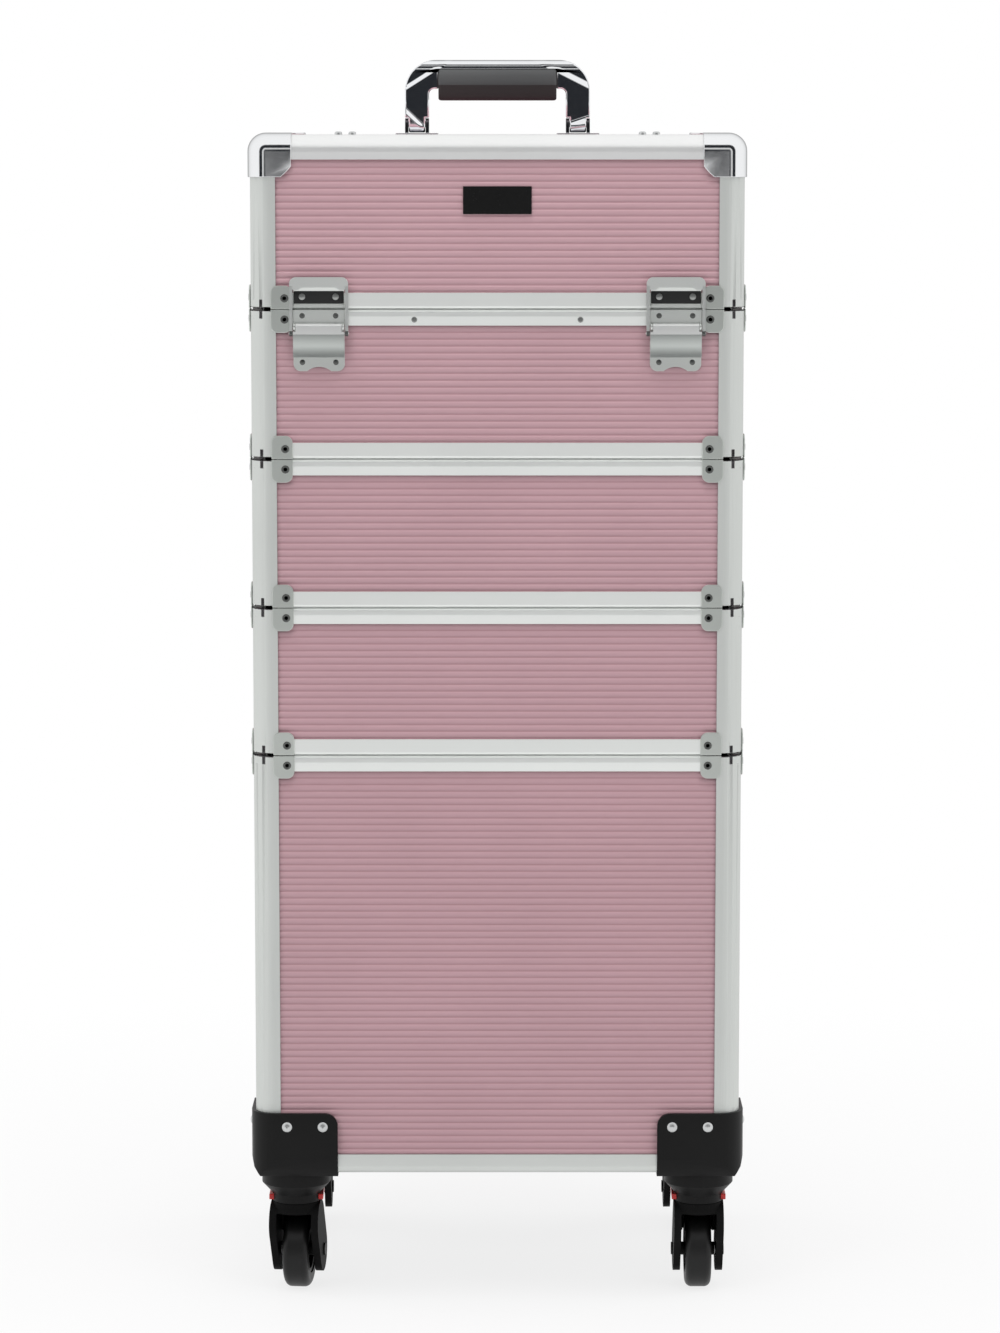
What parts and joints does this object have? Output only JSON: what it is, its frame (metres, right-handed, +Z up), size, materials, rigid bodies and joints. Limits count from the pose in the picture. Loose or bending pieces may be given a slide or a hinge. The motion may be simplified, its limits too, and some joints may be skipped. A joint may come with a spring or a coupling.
{
  "type": "rolling makeup case",
  "caption": "Upright rolling makeup case: bottom bin, stacked boxes and hinged lid in aluminium frames with pink ribbed boards, latches, carry handle and swivel casters.",
  "frame": {"origin": "on the floor under the middle of the case", "axes": "+Z up, -Y towards the front with the two toggle latches, +X to the right seen from the front"},
  "size_m": [0.3504, 0.2603, 0.8683],
  "materials": {
    "pink_board": "pale pink laminated board with fine horizontal ribs",
    "frame_aluminium": "satin anodised",
    "latch_steel": "nickel plated sheet",
    "chrome": "polished",
    "black_plastic": "moulded, satin",
    "grip": "moulded grip",
    "tyre": "moulded wheel",
    "red_plastic": "moulded"
  },
  "bodies": {
    "bin": {"bin_boards": "pink_board", "bin_posts": "frame_aluminium", "bin_rails": "frame_aluminium", "bin_clips": "latch_steel", "bin_latch_bases": "latch_steel", "caster_housings": "black_plastic", "housing_rivets": "latch_steel"},
    "box3": {"box3_boards": "pink_board", "box3_posts": "frame_aluminium", "box3_rails": "frame_aluminium", "box3_clips": "latch_steel", "box3_latch_plates": "latch_steel"},
    "box2": {"box2_boards": "pink_board", "box2_posts": "frame_aluminium", "box2_rails": "frame_aluminium", "box2_clips": "latch_steel", "box2_latch_plates": "latch_steel"},
    "box1": {"box1_boards": "pink_board", "box1_posts": "frame_aluminium", "box1_rails": "frame_aluminium", "box1_clips": "latch_steel", "box1_latch_keepers": "latch_steel", "front_latch_bases": "latch_steel", "hinge_leaves_lower": "latch_steel", "hinge_pins": "latch_steel"},
    "lid": {"lid_boards": "pink_board", "lid_posts": "frame_aluminium", "lid_top_rails": "frame_aluminium", "lid_rim_rails": "frame_aluminium", "lid_clips": "latch_steel", "lid_corner_caps": "chrome", "badge_plate": "black_plastic", "front_latch_keepers": "latch_steel", "hinge_leaves_upper": "latch_steel", "handle_mounts": "chrome"},
    "handle": {"handle_bail": "chrome", "handle_grip": "grip"},
    "latch_lever_left": {"latch_lever_left": "latch_steel"},
    "latch_lever_right": {"latch_lever_right": "latch_steel"},
    "latch_bail_left": {"latch_bail_left": "latch_steel"},
    "latch_bail_right": {"latch_bail_right": "latch_steel"},
    "bin_hasp_left": {"bin_hasp_left": "latch_steel"},
    "bin_hasp_right": {"bin_hasp_right": "latch_steel"},
    "box3_hasp_left": {"box3_hasp_left": "latch_steel"},
    "box3_hasp_right": {"box3_hasp_right": "latch_steel"},
    "box2_hasp_left": {"box2_hasp_left": "latch_steel"},
    "box2_hasp_right": {"box2_hasp_right": "latch_steel"},
    "fork_front_left": {"fork_front_left": "black_plastic"},
    "fork_front_right": {"fork_front_right": "black_plastic"},
    "fork_rear_left": {"fork_rear_left": "black_plastic"},
    "fork_rear_right": {"fork_rear_right": "black_plastic"},
    "wheel_front_left": {"wheel_front_left": "tyre"},
    "wheel_front_right": {"wheel_front_right": "tyre"},
    "wheel_rear_left": {"wheel_rear_left": "tyre"},
    "wheel_rear_right": {"wheel_rear_right": "tyre"},
    "release_front_left": {"release_front_left": "red_plastic"},
    "release_front_right": {"release_front_right": "red_plastic"},
    "release_rear_left": {"release_rear_left": "red_plastic"},
    "release_rear_right": {"release_rear_right": "red_plastic"}
  },
  "joints": [
    {"name": "box3_lift", "type": "slide", "parent": "bin", "child": "box3", "axis": [0, 0, 1], "range_m": [0, 0.15]},
    {"name": "box2_lift", "type": "slide", "parent": "box3", "child": "box2", "axis": [0, 0, 1], "range_m": [0, 0.15]},
    {"name": "box1_lift", "type": "slide", "parent": "box2", "child": "box1", "axis": [0, 0, 1], "range_m": [0, 0.15]},
    {"name": "lid_hinge", "type": "hinge", "parent": "box1", "child": "lid", "pos_m": [0, 0.1229, 0.697], "axis": [-1, 0, 0], "range_deg": [0, 100]},
    {"name": "handle_fold", "type": "hinge", "parent": "lid", "child": "handle", "pos_m": [0, 0, 0.8233], "axis": [1, 0, 0], "range_deg": [-75, 75]},
    {"name": "latch_lever_left_turn", "type": "hinge", "parent": "box1", "child": "latch_lever_left", "pos_m": [-0.1224, -0.12405, 0.685], "axis": [-1, 0, 0], "range_deg": [0, 150]},
    {"name": "latch_bail_left_turn", "type": "hinge", "parent": "latch_lever_left", "child": "latch_bail_left", "pos_m": [-0.1224, -0.1227, 0.6806], "axis": [-1, 0, 0], "range_deg": [-186, 0]},
    {"name": "latch_lever_right_turn", "type": "hinge", "parent": "box1", "child": "latch_lever_right", "pos_m": [0.1224, -0.12405, 0.685], "axis": [-1, 0, 0], "range_deg": [0, 150]},
    {"name": "latch_bail_right_turn", "type": "hinge", "parent": "latch_lever_right", "child": "latch_bail_right", "pos_m": [0.1224, -0.1227, 0.6806], "axis": [-1, 0, 0], "range_deg": [-186, 0]},
    {"name": "bin_hasp_left_turn", "type": "hinge", "parent": "bin", "child": "bin_hasp_left", "pos_m": [-0.1723, 0, 0.3815], "axis": [0, -1, 0], "range_deg": [0, 150]},
    {"name": "bin_hasp_right_turn", "type": "hinge", "parent": "bin", "child": "bin_hasp_right", "pos_m": [0.1723, 0, 0.3815], "axis": [0, 1, 0], "range_deg": [0, 150]},
    {"name": "box3_hasp_left_turn", "type": "hinge", "parent": "box3", "child": "box3_hasp_left", "pos_m": [-0.1723, 0, 0.4845], "axis": [0, -1, 0], "range_deg": [0, 150]},
    {"name": "box3_hasp_right_turn", "type": "hinge", "parent": "box3", "child": "box3_hasp_right", "pos_m": [0.1723, 0, 0.4845], "axis": [0, 1, 0], "range_deg": [0, 150]},
    {"name": "box2_hasp_left_turn", "type": "hinge", "parent": "box2", "child": "box2_hasp_left", "pos_m": [-0.1723, 0, 0.5875], "axis": [0, -1, 0], "range_deg": [0, 150]},
    {"name": "box2_hasp_right_turn", "type": "hinge", "parent": "box2", "child": "box2_hasp_right", "pos_m": [0.1723, 0, 0.5875], "axis": [0, 1, 0], "range_deg": [0, 150]},
    {"name": "swivel_front_left", "type": "hinge", "parent": "bin", "child": "fork_front_left", "pos_m": [-0.1425, -0.0925, 0.066], "axis": [0, 0, 1], "continuous": true},
    {"name": "roll_front_left", "type": "hinge", "parent": "fork_front_left", "child": "wheel_front_left", "pos_m": [-0.14104, -0.07858, 0.027], "axis": [0.9945, -0.1045, 0], "continuous": true},
    {"name": "release_front_left_pull", "type": "slide", "parent": "bin", "child": "release_front_left", "axis": [0, 1, 0], "range_m": [0, 0.004], "stiffness_N_per_m": 300},
    {"name": "swivel_front_right", "type": "hinge", "parent": "bin", "child": "fork_front_right", "pos_m": [0.1425, -0.0925, 0.066], "axis": [0, 0, 1], "continuous": true},
    {"name": "roll_front_right", "type": "hinge", "parent": "fork_front_right", "child": "wheel_front_right", "pos_m": [0.1425, -0.0785, 0.027], "axis": [1, 0, 0], "continuous": true},
    {"name": "release_front_right_pull", "type": "slide", "parent": "bin", "child": "release_front_right", "axis": [0, 1, 0], "range_m": [0, 0.004], "stiffness_N_per_m": 300},
    {"name": "swivel_rear_left", "type": "hinge", "parent": "bin", "child": "fork_rear_left", "pos_m": [-0.1425, 0.0925, 0.066], "axis": [0, 0, 1], "continuous": true},
    {"name": "roll_rear_left", "type": "hinge", "parent": "fork_rear_left", "child": "wheel_rear_left", "pos_m": [-0.1425, 0.1065, 0.027], "axis": [1, 0, 0], "continuous": true},
    {"name": "release_rear_left_pull", "type": "slide", "parent": "bin", "child": "release_rear_left", "axis": [0, -1, 0], "range_m": [0, 0.004], "stiffness_N_per_m": 300},
    {"name": "swivel_rear_right", "type": "hinge", "parent": "bin", "child": "fork_rear_right", "pos_m": [0.1425, 0.0925, 0.066], "axis": [0, 0, 1], "continuous": true},
    {"name": "roll_rear_right", "type": "hinge", "parent": "fork_rear_right", "child": "wheel_rear_right", "pos_m": [0.1425, 0.1065, 0.027], "axis": [1, 0, 0], "continuous": true},
    {"name": "release_rear_right_pull", "type": "slide", "parent": "bin", "child": "release_rear_right", "axis": [0, -1, 0], "range_m": [0, 0.004], "stiffness_N_per_m": 300}
  ],
  "couplings": [
    {"joint": "latch_bail_left_turn", "follows": "latch_lever_left_turn", "ratio": -1.2333},
    {"joint": "latch_bail_right_turn", "follows": "latch_lever_right_turn", "ratio": -1.2333}
  ]
}
